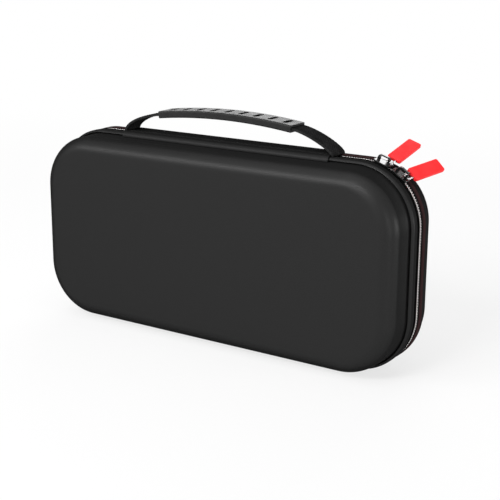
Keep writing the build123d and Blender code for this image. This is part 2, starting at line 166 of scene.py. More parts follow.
def weave_group():
    """Plain weave on a flat map in millimetres: thread crowns as height, crossings and slubs as shade."""
    group, given, made = new_group(
        "plain_weave",
        [("Vector", "NodeSocketVector", None), ("Thread", "NodeSocketFloat", 1.0)],
        [("Height", "NodeSocketFloat"), ("Shade", "NodeSocketFloat")],
    )
    split = group.nodes.new("ShaderNodeSeparateXYZ")
    group.links.new(given.outputs["Vector"], split.inputs[0])
    waves = []
    for axis in ("X", "Y"):
        turns = math_node(group, "DIVIDE", split.outputs[axis], given.outputs["Thread"])
        waves.append(math_node(group, "SINE", math_node(group, "MULTIPLY", turns, pi)))
    crowns = math_node(group, "MULTIPLY", waves[0], waves[1])
    height = math_node(group, "MULTIPLY_ADD", crowns, 0.5, 0.5)
    group.links.new(height, made.inputs["Height"])
    slubs = group.nodes.new("ShaderNodeTexNoise")
    slubs.inputs["Scale"].default_value = 1.6
    slubs.inputs["Detail"].default_value = 3.0
    group.links.new(given.outputs["Vector"], slubs.inputs["Vector"])
    shade = math_node(group, "MULTIPLY_ADD", height, 0.5, slubs.outputs["Fac"])
    group.links.new(math_node(group, "SUBTRACT", shade, 0.25), made.inputs["Shade"])
    return group


def grain_group():
    """Moulded, cast or napped surface: fine pits as height and slow blotches as shade."""
    group, given, made = new_group(
        "moulded_grain",
        [("Vector", "NodeSocketVector", None), ("Scale", "NodeSocketFloat", 900.0)],
        [("Height", "NodeSocketFloat"), ("Shade", "NodeSocketFloat")],
    )
    pits = group.nodes.new("ShaderNodeTexNoise")
    pits.inputs["Detail"].default_value = 2.0
    group.links.new(given.outputs["Vector"], pits.inputs["Vector"])
    group.links.new(given.outputs["Scale"], pits.inputs["Scale"])
    group.links.new(pits.outputs["Fac"], made.inputs["Height"])
    blotches = group.nodes.new("ShaderNodeTexNoise")
    blotches.inputs["Detail"].default_value = 4.0
    group.links.new(given.outputs["Vector"], blotches.inputs["Vector"])
    slow = math_node(group, "MULTIPLY", given.outputs["Scale"], 0.06)
    group.links.new(slow, blotches.inputs["Scale"])
    group.links.new(blotches.outputs["Fac"], made.inputs["Shade"])
    return group


WEAVE = weave_group()
GRAIN = grain_group()
CLOTH_MAP = "cloth"
SHADE_LOW = 0.25
SHADE_HIGH = 0.75
ROUGHNESS_SPREAD = 0.05
RELIEF = 0.1 * MM


def finish(name, group, setting, dark, light, roughness, bump, mapped=False, **sockets):
    """Material whose colour and gloss run from dark to light by a group's shade, its height as bump."""
    material = bpy.data.materials.new(name)
    material.use_nodes = True
    tree = material.node_tree
    shader = tree.nodes["Principled BSDF"]
    pattern = tree.nodes.new("ShaderNodeGroup")
    pattern.node_tree = group
    pattern.inputs[1].default_value = setting
    if mapped:
        place = tree.nodes.new("ShaderNodeUVMap")
        place.uv_map = CLOTH_MAP
        tree.links.new(place.outputs["UV"], pattern.inputs["Vector"])
    else:
        place = tree.nodes.new("ShaderNodeTexCoord")
        tree.links.new(place.outputs["Object"], pattern.inputs["Vector"])
    ramp = tree.nodes.new("ShaderNodeValToRGB")
    ramp.color_ramp.elements[0].position = SHADE_LOW
    ramp.color_ramp.elements[1].position = SHADE_HIGH
    ramp.color_ramp.elements[0].color = (*dark, 1)
    ramp.color_ramp.elements[1].color = (*light, 1)
    tree.links.new(pattern.outputs["Shade"], ramp.inputs["Fac"])
    tree.links.new(ramp.outputs["Color"], shader.inputs["Base Color"])
    relief = tree.nodes.new("ShaderNodeBump")
    relief.inputs["Strength"].default_value = bump
    relief.inputs["Distance"].default_value = RELIEF
    tree.links.new(pattern.outputs["Height"], relief.inputs["Height"])
    tree.links.new(relief.outputs["Normal"], shader.inputs["Normal"])
    sheen = tree.nodes.new("ShaderNodeMapRange")
    sheen.inputs["From Min"].default_value = SHADE_LOW
    sheen.inputs["From Max"].default_value = SHADE_HIGH
    sheen.inputs["To Min"].default_value = roughness + ROUGHNESS_SPREAD
    sheen.inputs["To Max"].default_value = roughness - ROUGHNESS_SPREAD
    tree.links.new(pattern.outputs["Shade"], sheen.inputs["Value"])
    tree.links.new(sheen.outputs[0], shader.inputs["Roughness"])
    for socket, value in sockets.items():
        shader.inputs[socket.replace("_", " ")].default_value = value
    return material


def grey(value, warm=0.0):
    """Neutral colour, a little warmer where asked."""
    return value * (1 + warm), value, value * (1 - 0.3 * warm)


# Pressed cloth has a faint lustre that is strongest face on and dies away at a glancing look
MATT = {"Specular_IOR_Level": 0.0}
LUSTRE = {"Specular_IOR_Level": 0.0, "Metallic": 0.5, "Specular_Tint": (0, 0, 0, 1)}
shell_cloth = finish("shell_cloth", WEAVE, 0.35, grey(0.021), grey(0.031), 0.39, 0.25, True, **LUSTRE)
strip_cloth = finish("strip_cloth", WEAVE, 0.5, grey(0.016), grey(0.025), 0.45, 0.35, True, **LUSTRE)
lining_cloth = finish("lining_cloth", GRAIN, 2200.0, grey(0.018), grey(0.036), 0.9, 0.6, **MATT)
TAPE_DARK = (0.024, 0.013, 0.013)
TAPE_LIGHT = (0.046, 0.024, 0.025)
tape_weave = finish("tape_weave", WEAVE, 0.45, TAPE_DARK, TAPE_LIGHT, 0.7, 0.6, True, **MATT)
coil_nylon = finish("coil_nylon", GRAIN, 1500.0, grey(0.52, 0.06), grey(0.68, 0.06), 0.38, 0.1)
webbing_yarn = finish("webbing_yarn", GRAIN, 2500.0, grey(0.013), grey(0.032), 0.6, 0.5, **LUSTRE)
# Braid yarn: near black, partly the braid's own colour and partly painted shade in the gaps between the lips
# and the tooth heads
braid_yarn_painted_shade = finish("braid_yarn_painted_shade", WEAVE, 0.4, grey(0.004), grey(0.01), 0.8, 0.5, True, **MATT)
grip_rubber = finish(
    "grip_rubber", GRAIN, 3000.0, grey(0.013), grey(0.02), 0.45, 0.3, Specular_IOR_Level=0.13
)
TAB_RED = (0.93, 0.027, 0.03)
TAB_RED_LIGHT = (1.0, 0.04, 0.044)
tab_rubber = finish(
    "tab_rubber", GRAIN, 2600.0, TAB_RED, TAB_RED_LIGHT, 0.5, 0.3, Specular_IOR_Level=0.12
)
slider_lacquer = finish(
    "slider_lacquer", GRAIN, 900.0, grey(0.006), grey(0.01), 0.22, 0.08, Metallic=0.6
)
loop_plating = finish("loop_plating", GRAIN, 900.0, grey(0.5), grey(0.62), 0.18, 0.05, Metallic=1.0)
elastic_yarn = finish("elastic_yarn", WEAVE, 0.7, grey(0.009), grey(0.02), 0.8, 0.7, True, **MATT)
net_yarn = finish("net_yarn", GRAIN, 2500.0, grey(0.009), grey(0.018), 0.8, 0.2, **MATT)
stitch_thread = finish("stitch_thread", GRAIN, 3000.0, grey(0.016), grey(0.03), 0.6, 0.2, **MATT)


def paint_slot_shade(material):
    """Paints shade into the slots: the colour falls to near black below the grip's top face and between its
    edges.
    """
    tree = material.node_tree
    shader = tree.nodes["Principled BSDF"]
    rubber = shader.inputs["Base Color"].links[0].from_socket
    place = tree.nodes.new("ShaderNodeTexCoord")
    split = tree.nodes.new("ShaderNodeSeparateXYZ")
    tree.links.new(place.outputs["Object"], split.inputs[0])
    x, y, z = split.outputs
    up = math_node(tree, "SUBTRACT", z, ARCH_TOP_Z - ARCH_R)
    squares = math_node(tree, "ADD", math_node(tree, "MULTIPLY", x, x), math_node(tree, "MULTIPLY", up, up))
    from_middle = math_node(tree, "SQRT", squares)
    sunk = math_node(tree, "LESS_THAN", from_middle, ARCH_R + GRIP_T / 2 - SLOT_RIM)
    across = math_node(tree, "ABSOLUTE", math_node(tree, "SUBTRACT", y, PARTING_Y))
    sunk = math_node(tree, "MULTIPLY", sunk, math_node(tree, "LESS_THAN", across, SLOT_L / 2))
    along = math_node(tree, "LESS_THAN", math_node(tree, "ABSOLUTE", x), GRIP_HALF_L - SLOT_END)
    sunk = math_node(tree, "MULTIPLY", sunk, along)
    above = math_node(tree, "GREATER_THAN", from_middle, ARCH_R)
    sunk = math_node(tree, "MULTIPLY", sunk, above)
    # Painted shade: near-black colour mixed into the slots, where the shade of the recess falls
    slot_painted_shade = tree.nodes.new("ShaderNodeMix")
    slot_painted_shade.data_type = "RGBA"
    tree.links.new(sunk, slot_painted_shade.inputs[0])
    tree.links.new(rubber, slot_painted_shade.inputs[6])
    slot_painted_shade.inputs[7].default_value = (*grey(0.001), 1)
    tree.links.new(slot_painted_shade.outputs[2], shader.inputs["Base Color"])


# Painted shade in the grip's slots
paint_slot_shade(grip_rubber)


# Helpers for the pieces


def map_cloth(bm):
    """Lays the cloth map in millimetres: flat on the front and rear, round the rim elsewhere."""
    layer = bm.loops.layers.uv.new(CLOTH_MAP)
    bm.normal_update()
    for face in bm.faces:
        flat = abs(face.normal.y) > 0.7
        for loop in face.loops:
            x, y, z = loop.vert.co
            u, v = (x, z) if flat else (rim_distance(x, z), y)
            loop[layer].uv = (u / MM, v / MM)


def place_piece(name, bm, materials, body, replaced=(), sharp=35):
    """Moves a bmesh to the parting plane and makes it a smooth-shaded piece that rides on its body."""
    bmesh.ops.translate(bm, verts=bm.verts, vec=(0, PARTING_Y, 0))
    mesh = bpy.data.meshes.new(name)
    bm.to_mesh(mesh)
    bm.free()
    mesh.shade_smooth()
    mesh.set_sharp_from_angle(angle=radians(sharp))
    for material in materials:
        mesh.materials.append(material)
    piece = bpy.data.objects.new(name, mesh)
    scene.collection.objects.link(piece)
    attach(piece, body)
    if replaced:
        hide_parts(*replaced)
    return piece


def all_of(bm):
    """Everything in a bmesh, for a cut right through it."""
    return bm.verts[:] + bm.edges[:] + bm.faces[:]


def new_verts(made):
    """The vertices that an extrusion made."""
    return [v for v in made["geom"] if isinstance(v, bmesh.types.BMVert)]


def look_along(bm, direction):
    """Turns an open sheet so that its faces look along a direction, on the whole."""
    bmesh.ops.recalc_face_normals(bm, faces=bm.faces)
    if sum(f.normal.dot(Vector(direction)) for f in bm.faces) < 0:
        bmesh.ops.reverse_faces(bm, faces=bm.faces)


def rounded_face(bm, half_w, low, high, radius, y):
    """One upright face with rounded corners, looking to the front."""
    before = set(bm.faces)
    spots = [(-half_w, low), (half_w, low), (half_w, high), (-half_w, high)]
    corners = [bm.verts.new((x, y, z)) for x, z in spots]
    bm.faces.new(corners)
    bmesh.ops.bevel(
        bm,
        geom=corners,
        offset=radius,
        segments=CORNER_STEPS,
        profile=0.5,
        affect="VERTICES",
        material=-1,
    )
    return [f for f in bm.faces if f not in before][0]


def rim_face(bm, inset, y):
    """One face with the outline of the case, set in from the rim."""
    return rounded_face(bm, CASE_W / 2 - inset, inset, CASE_H - inset, CORNER_R - inset, y)


def quarter_steps(radius, count):
    """Steps (inset, rise) round a quarter, from the side over to the face."""
    steps = []
    for k in range(count):
        a, b = (pi / 2 * n / count for n in (k, k + 1))
        steps.append((radius * (cos(a) - cos(b)), radius * (sin(b) - sin(a))))
    return steps


def press(bm, face, steps):
    """Runs a face inwards and outwards step by step; returns the faces made."""
    made = []
    for inset, rise in steps:
        ring = bmesh.ops.inset_region(
            bm, faces=[face], thickness=inset, depth=rise, use_even_offset=True, use_boundary=True
        )
        made.extend(ring["faces"])
    return made


def add_stitch(bm, start, end, thickness):
    """One stitch: a thin rounded bar from start to end."""
    run = end - start
    place = Matrix.Translation((start + end) / 2) @ run.to_track_quat("Z", "Y").to_matrix().to_4x4()
    place @= Matrix.Diagonal((thickness, thickness, run.length / 2, 1))
    bmesh.ops.create_uvsphere(bm, u_segments=6, v_segments=5, radius=1, matrix=place)


# Shells: rim lip, raised panel and lined hollow, pressed out of the rim's outline
LIP_FLAT_IN = ZIP_HALF + LIP_INNER_R
LIP_FLAT_OUT = RIM_HALF - LIP_OUTER_R
CAVITY_INSET = STEP + WALL
FLOOR_R = FACE_R - WALL
EDGE_HOLD = 0.4 * MM
CREASE_DEPTH = 1.2 * MM
CREASE_LEAN = 0.4 * MM
LIP_STEPS = 8
WELT_STEPS = 6
LIP_INNER_STEPS = 6
FACE_STEPS = 14
FLOOR_STEPS = 8
PANEL_RINGS = (5 * MM, 8 * MM, 9 * MM)
FLOOR_RINGS = (8 * MM, 14 * MM)
LINING = 1
BINDING = 2
BINDING_END = 6.2 * MM


def pressed_shell(name, body, node, depth, to_rear):
    """Shell with its lip, crease, wall and panel outside, its lined hollow inside, and bound if rear."""
    bm = bmesh.new()
    rim_face(bm, 0, -LIP_FLAT_IN)
    grown = bmesh.ops.extrude_face_region(bm, geom=bm.faces[:])
    bmesh.ops.translate(bm, verts=new_verts(grown), vec=(0, LIP_FLAT_IN - LIP_FLAT_OUT, 0))
    bmesh.ops.recalc_face_normals(bm, faces=bm.faces)
    caps = [f for f in bm.faces if len(f.verts) > 4]
    panel, hollow = sorted(caps, key=lambda f: f.calc_center_median().y)
    wall_rise = depth - FACE_R - RIM_HALF
    welt = quarter_steps(LIP_OUTER_R, LIP_STEPS)[:WELT_STEPS]
    press(bm, panel, welt)
    to_wall = STEP - sum(inset for inset, rise in welt)
    to_flat = LIP_OUTER_R - sum(rise for inset, rise in welt)
    press(bm, panel, [(to_wall - CREASE_LEAN, -CREASE_DEPTH), (CREASE_LEAN, CREASE_DEPTH + to_flat)])
    press(bm, panel, [(0, wall_rise)])
    press(bm, panel, quarter_steps(FACE_R, FACE_STEPS))
    press(bm, panel, [(ring, 0) for ring in PANEL_RINGS])
    press(bm, hollow, quarter_steps(LIP_INNER_R, LIP_INNER_STEPS))
    hollow_wall = depth - WALL - FLOOR_R - ZIP_HALF
    lined = press(
        bm,
        hollow,
        [
            (CAVITY_INSET - LIP_INNER_R - EDGE_HOLD, 0),
            (EDGE_HOLD, -EDGE_HOLD),
            (0, EDGE_HOLD - hollow_wall),
        ],
    )
    lined += press(bm, hollow, [(inset, -rise) for inset, rise in quarter_steps(FLOOR_R, FLOOR_STEPS)])
    lined += press(bm, hollow, [(ring, 0) for ring in FLOOR_RINGS])
    for face in lined + [hollow]:
        face.material_index = LINING
    if to_rear:
        bmesh.ops.scale(bm, vec=(1, -1, 1), verts=bm.verts)
        bmesh.ops.reverse_faces(bm, faces=bm.faces)
        bmesh.ops.bisect_plane(bm, geom=all_of(bm), plane_co=(0, BINDING_END, 0), plane_no=(0, 1, 0))
        for face in bm.faces:
            if face.material_index != LINING and face.calc_center_median().y < BINDING_END:
                face.material_index = BINDING
    map_cloth(bm)
    materials = [shell_cloth, lining_cloth, tape_weave]
    return place_piece(name, bm, materials, body, [node])


pressed_shell("front_shell_cloth", "lid", "front_shell", LID_DEPTH, False)
pressed_shell("rear_shell_cloth", "case", "rear_shell", REAR_DEPTH, True)


# Zip: woven tape along each lip, a row of nylon teeth on it that mesh at the seam, and braid over them whose
# near-black yarn is also painted shade beside the tooth heads
STRIP_HALF_L = strip_high.x
TAPE_END_X = STRIP_HALF_L - 1.5 * MM
COIL_END_X = STRIP_HALF_L + 3.5 * MM
TAPE_T = 0.8 * MM
TAPE_TUCK = 0.5 * MM
TOOTH_PITCH = 1.6 * MM
TOOTH_T = 0.7 * MM
TOOTH_PAST_SEAM = 0.5 * MM
TOOTH_R = 0.2 * MM
TOOTH_START = 0.25
BRAID_NEAR = 1.3 * MM
BRAID_FAR = COIL_OUT + 0.3 * MM
BRAID_PROUD = 0.2 * MM
END_SLACK = 0.1 * MM


def rim_ribbon(inset, end_x, near, far, side, thickness):
    """Ribbon round the rim from one end of the strip to the other, as wide as near to far from the seam."""
    bm = bmesh.new()
    outline = rim_face(bm, inset, side * near)
    bmesh.ops.delete(bm, geom=[outline], context="FACES_ONLY")
    for x in (-end_x, end_x):
        bmesh.ops.bisect_plane(bm, geom=all_of(bm), plane_co=(x, 0, 0), plane_no=(1, 0, 0))
    reach = end_x + END_SLACK
    under_strip = [e for e in bm.edges if all(v.co.z > ARC_Z and abs(v.co.x) < reach for v in e.verts)]
    bmesh.ops.delete(bm, geom=under_strip, context="EDGES")
    grown = bmesh.ops.extrude_edge_only(bm, edges=bm.edges)
    bmesh.ops.translate(bm, verts=new_verts(grown), vec=(0, side * (far - near), 0))
    bmesh.ops.recalc_face_normals(bm, faces=bm.faces)
    if min(bm.faces, key=lambda f: f.calc_center_median().z).normal.z > 0:
        bmesh.ops.reverse_faces(bm, faces=bm.faces)
    bmesh.ops.solidify(bm, geom=bm.faces, thickness=thickness)
    map_cloth(bm)
    return bm


def zip_tape(name, body, node, side):
    """Tape that follows the rim from the seam into the slit in the lip."""
    bm = rim_ribbon(TAPE_INSET, TAPE_END_X, SEAM_HALF, ZIP_HALF + TAPE_TUCK, side, TAPE_T)
    return place_piece(name, bm, [tape_weave], body, [node])


def zip_teeth(name, body, node, side, shift):
    """Row of rounded teeth from strip end to strip end, each from the tape to just past the seam."""
    bm = bmesh.new()
    run = 2 * (HALF_ROUND - COIL_END_X)
    count = int(run / TOOTH_PITCH)
    inset = (COIL_INSET + TAPE_INSET) / 2
    reach = COIL_OUT + TOOTH_PAST_SEAM
    for k in range(count):
        along = COIL_END_X + (k + TOOTH_START + shift) * run / count
        if along > HALF_ROUND:
            along -= 2 * HALF_ROUND
        x, z, turn = rim_place(along, inset)
        place = Matrix.Translation((x, side * (COIL_OUT - TOOTH_PAST_SEAM) / 2, z))
        place @= Matrix.Rotation(turn, 4, "Y")
        place @= Matrix.Diagonal((TOOTH_T, reach, TAPE_INSET - COIL_INSET, 1))
        bmesh.ops.create_cube(bm, size=1, matrix=place)
    bmesh.ops.bevel(
        bm, geom=bm.edges, offset=TOOTH_R, segments=1, profile=0.5, affect="EDGES", material=-1
    )
    return place_piece(name, bm, [coil_nylon], body, [node], sharp=60)


def zip_braid(name, body, side):
    """Braid that sews a row of teeth to its tape and leaves only the tooth heads bare; its near-black yarn
    is partly the braid's own dark colour and partly painted shade between the lips and the tooth heads.
    """
    thickness = TAPE_INSET - COIL_INSET + BRAID_PROUD
    bm = rim_ribbon(COIL_INSET - BRAID_PROUD, COIL_END_X, BRAID_NEAR, BRAID_FAR, side, thickness)
    return place_piece(name, bm, [braid_yarn_painted_shade], body)


zip_tape("zip_tape_front_woven", "lid", "zip_tape_front", -1)
zip_tape("zip_tape_rear_woven", "case", "zip_tape_rear", 1)
zip_teeth("zip_teeth_front", "lid", "zip_coil_front", -1, 0)
zip_teeth("zip_teeth_rear", "case", "zip_coil_rear", 1, 0.5)
zip_braid("zip_braid_front", "lid", -1)
zip_braid("zip_braid_rear", "case", 1)


# Spine strip: cloth folded over both lips, with a lengthwise seam and rows of stitches
STRIP_T = 0.8 * MM
STRIP_FRONT = strip_low.y - PARTING_Y
STRIP_REAR = strip_high.y - PARTING_Y
STRIP_BEND_Z = CASE_H - LIP_OUTER_R
STRIP_TOP_Z = strip_high.z
STRIP_FOOT_Z = strip_low.z
STRIP_SEAM_Y = -5.5 * MM
STRIP_SEAM_HALF = 0.45 * MM
STRIP_SEAM_DEPTH = 0.35 * MM
STRIP_EDGE_R = 0.3 * MM
STRIP_BEND_STEPS = 8
SEAM_TO_STITCH = 1.3 * MM
EDGE_TO_STITCH = 1.6 * MM
END_TO_STITCH = 2.0 * MM
STITCH_PITCH = 3.0 * MM
STITCH_L = 2.2 * MM
STITCH_R = 0.22 * MM


def run_to(bm, start, spot):
    """Draws a line from a vertex to a spot; returns the vertex there."""
    end = bmesh.ops.extrude_vert_indiv(bm, verts=[start])["verts"][0]
    end.co = spot
    return end


def spine_strip():
    """Strip drawn as its section and run out along the spine; its flat width is the section unrolled."""
    bm = bmesh.new()
    tip = bm.verts.new((0, STRIP_FRONT, STRIP_FOOT_Z))
    tip = run_to(bm, tip, (0, STRIP_FRONT, STRIP_BEND_Z))
    fold = (0, -LIP_FLAT_OUT, STRIP_BEND_Z)
    bend = bmesh.ops.spin(bm, geom=[tip], cent=fold, axis=(1, 0, 0), angle=-pi / 2, steps=STRIP_BEND_STEPS)
    tip = [v for v in bend["geom_last"] if isinstance(v, bmesh.types.BMVert)][0]
    for y, sink in (
        (STRIP_SEAM_Y - STRIP_SEAM_HALF, 0),
        (STRIP_SEAM_Y, STRIP_SEAM_DEPTH),
        (STRIP_SEAM_Y + STRIP_SEAM_HALF, 0),
        (STRIP_REAR - STRIP_EDGE_R, 0),
        (STRIP_REAR, STRIP_EDGE_R),
    ):
        tip = run_to(bm, tip, (0, y, STRIP_TOP_Z - sink))
    bmesh.ops.translate(bm, verts=bm.verts, vec=(-STRIP_HALF_L, 0, 0))
    grown = bmesh.ops.extrude_edge_only(bm, edges=bm.edges)
    bmesh.ops.translate(bm, verts=new_verts(grown), vec=(2 * STRIP_HALF_L, 0, 0))
    look_along(bm, (0, 0, 1))
    bmesh.ops.solidify(bm, geom=bm.faces, thickness=STRIP_T)
    map_cloth(bm)
    strip = place_piece("spine_strip_cloth", bm, [strip_cloth], "case", ["hinge_strip"])
    return strip


def strip_stitches():
    """Three rows of stitches: one each side of the seam and one along the rear edge."""
    bm = bmesh.new()
    count = int(2 * (STRIP_HALF_L - END_TO_STITCH) / STITCH_PITCH)
    beside_seam = (STRIP_SEAM_Y - SEAM_TO_STITCH, STRIP_SEAM_Y + SEAM_TO_STITCH)
    for y in (*beside_seam, STRIP_REAR - EDGE_TO_STITCH):
        for k in range(count):
            x = (k - (count - 1) / 2) * STITCH_PITCH
            start = Vector((x - STITCH_L / 2, y, STRIP_TOP_Z))
            add_stitch(bm, start, start + Vector((STITCH_L, 0, 0)), STITCH_R)
    return place_piece("spine_strip_stitches", bm, [stitch_thread], "case", sharp=80)


spine_strip()
strip_stitches()


# Handle strap: woven webbing from the grip down to each foot
STRAP_W = strap_high.y - strap_low.y
STRAP_T = 1.8 * MM
FOOT_X = strap_high.x - STRAP_T / 2
YARN = 1.15 * MM
YARN_RELIEF = 0.16 * MM
YARN_CELLS = 4
SELVEDGE = 1.2 * MM
STRAP_EDGE_GAP = 0.6 * MM
STRAP_IN_GRIP = 4.0 * MM
STRAP_POINTS = 160
RIGHT_SLACK = (12 * MM, 3 * MM)
LEFT_SLACK = (15 * MM, 6 * MM)


def strap_line(reach, rise):
    """Points of the strap's middle line, from inside the grip to the foot, by its slack at both ends."""
    slope = GRIP_HALF_L / ARCH_R
    heading = Vector((cos(slope), 0, -sin(slope)))
    grip_end = Vector((GRIP_HALF_L, 0, ARCH_TOP_Z - GRIP_RISE))
    foot = Vector((FOOT_X, 0, strap_low.z))
    above_foot = foot + Vector((0, 0, rise))
    bend = interpolate_bezier(grip_end, grip_end + heading * reach, above_foot, foot, STRAP_POINTS)
    return [grip_end - heading * STRAP_IN_GRIP] + bend


def webbing_strap():
    """Both visible ends of the strap: sheets raised by the crossing yarns and given their thickness."""
    bm = bmesh.new()
    columns = int(STRAP_W / YARN * YARN_CELLS)
    for side, slack in ((1, RIGHT_SLACK), (-1, LEFT_SLACK)):
        line = strap_line(*slack)
        runs = [0.0]
        for a, b in zip(line, line[1:]):
            runs.append(runs[-1] + (b - a).length)
        rows = int(runs[-1] / YARN * YARN_CELLS)
        grid = bmesh.ops.create_grid(bm, x_segments=rows, y_segments=columns, size=0.5)
        for vert in grid["verts"]:
            reach = (vert.co.x + 0.5) * runs[-1]
            across = vert.co.y * (STRAP_W - STRAP_EDGE_GAP)
            k = max(n for n in range(len(runs) - 1) if runs[n] <= reach + 1e-9)
            spot = line[k].lerp(line[k + 1], (reach - runs[k]) / (runs[k + 1] - runs[k]))
            heading = (line[k + 1] - line[k]).normalized()
            upwards = Vector((-heading.z, 0, heading.x))
            edge = max(0.0, abs(across) - STRAP_W / 2 + SELVEDGE) / SELVEDGE
            crowns = sin(pi * reach / YARN) * sin(pi * across / YARN) * (1 - edge)
            spot = spot + upwards * (STRAP_T / 2 - YARN_RELIEF + YARN_RELIEF * crowns)
            vert.co = (side * spot.x, across, spot.z)
        if side < 0:
            turned = {f for v in grid["verts"] for f in v.link_faces}
            bmesh.ops.reverse_faces(bm, faces=list(turned))
    bm.normal_update()
    bmesh.ops.solidify(bm, geom=bm.faces, thickness=STRAP_T - 2 * YARN_RELIEF)
    return place_piece("handle_webbing", bm, [webbing_yarn], "case", ["handle_strap"], sharp=80)


webbing_strap()


# Console bed: foam with a recess for the console and a finger notch above and below, lined
BED_TOP = bed_low.y - PARTING_Y
BED_END = bed_high.y - PARTING_Y
BED_HIDDEN_END = BED_END - 3.0 * MM
CAVITY_R = CORNER_R - CAVITY_INSET
BED_SIDE = 3.7 * MM
BED_BRIM = 5.2 * MM
RECESS_FLOOR = 1.5 * MM
RECESS_DEPTH = BED_END - RECESS_FLOOR - BED_TOP
NOTCH_HALF = 22.0 * MM
NOTCH_RAMP = 4.0 * MM
NOTCH_STEPS = 8
NOTCH_DEPTH = 9.0 * MM
FOAM_R = 1.6 * MM
FOAM_STEPS = 4


def lined_bed():
    """Bed pressed from its outline: rounded brim, recess, and a notch pushed into the long sides."""
    bm = bmesh.new()
    half_w = (bed_high.x - bed_low.x) / 2
    half_h = (bed_high.z - bed_low.z) / 2
    middle = CASE_H / 2
    rounded_face(bm, half_w, middle - half_h, middle + half_h, CAVITY_R, BED_HIDDEN_END)
    grown = bmesh.ops.extrude_face_region(bm, geom=bm.faces[:])
    rise = BED_TOP + FOAM_R - BED_HIDDEN_END
    bmesh.ops.translate(bm, verts=new_verts(grown), vec=(0, rise, 0))
    bmesh.ops.recalc_face_normals(bm, faces=bm.faces)
    pad = min(bm.faces, key=lambda f: f.calc_center_median().y)
    turn = quarter_steps(FOAM_R, FOAM_STEPS)
    press(bm, pad, turn)
    press(bm, pad, [(BED_SIDE - 2 * FOAM_R, 0)])
    inner_h = half_h - BED_SIDE + FOAM_R
    squeeze = (inner_h - BED_BRIM + BED_SIDE) / inner_h
    about_middle = Matrix.Translation((0, 0, -middle))
    bmesh.ops.scale(bm, vec=(1, 1, squeeze), space=about_middle, verts=pad.verts[:])
    press(bm, pad, [(inset, -fall) for inset, fall in reversed(turn)])
    press(bm, pad, [(0, 2 * FOAM_R - RECESS_DEPTH)])
    press(bm, pad, [(inset, -fall) for inset, fall in turn])
    for side in (-1, 1):
        for k in range(NOTCH_STEPS + 1):
            x = side * (NOTCH_HALF + NOTCH_RAMP * k / NOTCH_STEPS)
            bmesh.ops.bisect_plane(bm, geom=all_of(bm), plane_co=(x, 0, 0), plane_no=(1, 0, 0))
    for vert in bm.verts:
        ramp = min(max((abs(vert.co.x) - NOTCH_HALF) / NOTCH_RAMP, 0), 1)
        sunk = BED_TOP + NOTCH_DEPTH * (1 + cos(pi * ramp)) / 2
        if abs(vert.co.z - middle) > half_h - BED_BRIM - FOAM_R:
            vert.co.y = max(vert.co.y, sunk)
    bmesh.ops.recalc_face_normals(bm, faces=bm.faces)
    bed = place_piece(
        "console_bed_lined", bm, [lining_cloth], "case", ["console_bed"], sharp=50
    )
    return bed


lined_bed()


# Elastic hold-down bands, ribbed along their length and sewn down at both ends
BAND_RIB = 1.1 * MM
BAND_RIB_RELIEF = 0.12 * MM
BAND_RIB_CELLS = 6
BAND_ROWS = 40
BAND_SEAMS = (1.5 * MM, 3.2 * MM)


def elastic_band(name, node):
    """Flat band in the place of its solid, with ribs on its front."""
    low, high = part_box(node)
    bm = bmesh.new()
    columns = int((high.x - low.x) / BAND_RIB) * BAND_RIB_CELLS
    bmesh.ops.create_grid(bm, x_segments=columns, y_segments=BAND_ROWS, size=0.5)
    bmesh.ops.scale(bm, vec=(high.x - low.x, high.z - low.z, 1), verts=bm.verts)
    bmesh.ops.rotate(bm, cent=(0, 0, 0), matrix=Matrix.Rotation(pi / 2, 3, "X"), verts=bm.verts)
    middle = (low + high) / 2
    for vert in bm.verts:
        vert.co.y -= BAND_RIB_RELIEF * abs(sin(pi * vert.co.x / BAND_RIB))
    front = low.y - PARTING_Y + BAND_RIB_RELIEF
    bmesh.ops.translate(bm, verts=bm.verts, vec=(middle.x, front, middle.z))
    look_along(bm, (0, -1, 0))
    bmesh.ops.solidify(bm, geom=bm.faces, thickness=high.y - low.y - BAND_RIB_RELIEF)
    map_cloth(bm)
    return place_piece(name, bm, [elastic_yarn], "case", [node], sharp=70)


def band_stitches(name, node):
    """Two rows of stitches at each end of a band."""
    low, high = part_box(node)
    bm = bmesh.new()
    count = int((high.x - low.x) / STITCH_PITCH)
    for inset in BAND_SEAMS:
        for z in (low.z + inset, high.z - inset):
            for k in range(count):
                x = (low.x + high.x) / 2 + (k - (count - 1) / 2) * STITCH_PITCH
                start = Vector((x - STITCH_L / 2, low.y - PARTING_Y, z))
                add_stitch(bm, start, start + Vector((STITCH_L, 0, 0)), STITCH_R)
    return place_piece(name, bm, [stitch_thread], "case", sharp=80)


for side in ("left", "right"):
    elastic_band(f"hold_band_{side}_ribbed", f"hold_band_{side}")
    band_stitches(f"hold_band_{side}_stitches", f"hold_band_{side}")


# Net pocket in the lid: knotted diamonds below a gathered elastic hem
NET_PITCH = 2.7 * MM
NET_YARN = 0.62 * MM
HEM_FOLDS = 46
HEM_FOLD_CELLS = 6
HEM_RELIEF = 0.35 * MM
HEM_R = 0.6 * MM
HEM_R_STEPS = 3
HEM_END_GAP = 0.6 * MM
NET_GAP = 0.3 * MM
NET_IN_HEM = 1.0 * MM


